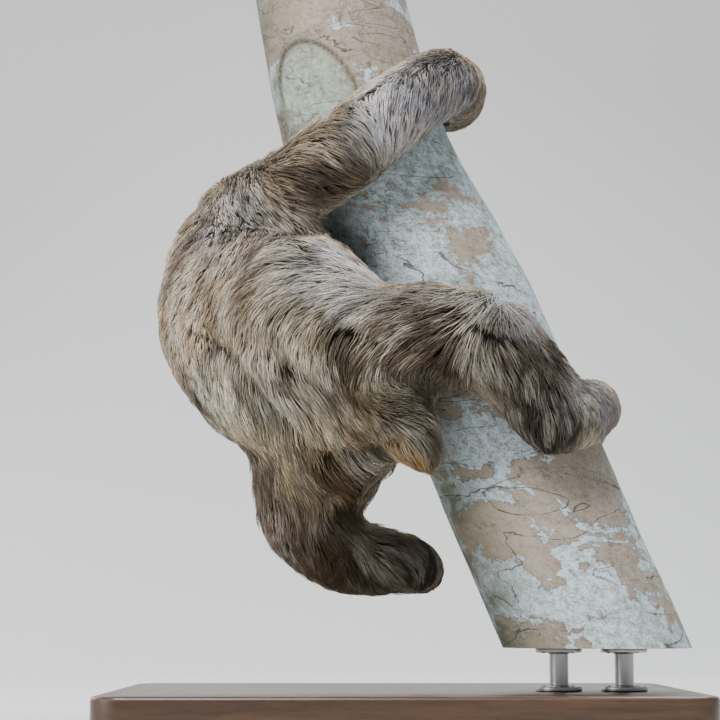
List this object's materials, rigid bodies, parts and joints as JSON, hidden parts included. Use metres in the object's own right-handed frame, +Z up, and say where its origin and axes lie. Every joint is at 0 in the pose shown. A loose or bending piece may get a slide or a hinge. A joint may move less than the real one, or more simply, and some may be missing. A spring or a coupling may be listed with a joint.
{
  "type": "three-toed sloth on a trunk perch, museum model",
  "caption": "Life-size still model of a brown-throated three-toed sloth hugging a short cut tree trunk, on a plain display stand.",
  "frame": {"origin": "middle of the underside of the stand's base, on the floor", "axes": "+Z up, +X along the base towards the foot of the leaning trunk, +Y towards the side of the trunk that the sloth's belly and face are turned to, away from its back"},
  "size_m": [0.56, 0.42, 0.79],
  "materials": {
    "coat": "coarse shaggy hair, mottled grey-brown with cream and dark brown, a golden fringe under the tail",
    "claw": "satin horn, darker at the root, worn paler at the tip",
    "eye": "wet dark brown eye",
    "nose": "damp black pebbled skin",
    "bark": "smooth pale grey-white bark with beige and lichen patches and thin dark cracks, sawn ends of pale wood",
    "board": "satin dark stained hardwood",
    "steel": "brushed"
  },
  "bodies": {
    "root": {"head": "coat", "neck": "coat", "torso": "coat", "tail": "coat", "right_upper_arm": "coat", "right_forearm": "coat", "right_hand": "coat", "right_thigh": "coat", "right_shank": "coat", "right_foot": "coat", "right_hand_claw_1": "claw", "right_hand_claw_2": "claw", "right_hand_claw_3": "claw", "right_foot_claw_1": "claw", "right_foot_claw_2": "claw", "right_foot_claw_3": "claw", "left_upper_arm": "coat", "left_forearm": "coat", "left_hand": "coat", "left_thigh": "coat", "left_shank": "coat", "left_foot": "coat", "left_hand_claw_1": "claw", "left_hand_claw_2": "claw", "left_hand_claw_3": "claw", "left_foot_claw_1": "claw", "left_foot_claw_2": "claw", "left_foot_claw_3": "claw", "eye_left": "eye", "eye_right": "eye", "nose": "nose", "perch": "bark", "stand_base": "board", "stand_rod_1": "steel", "stand_rod_2": "steel"}
  },
  "joints": []
}
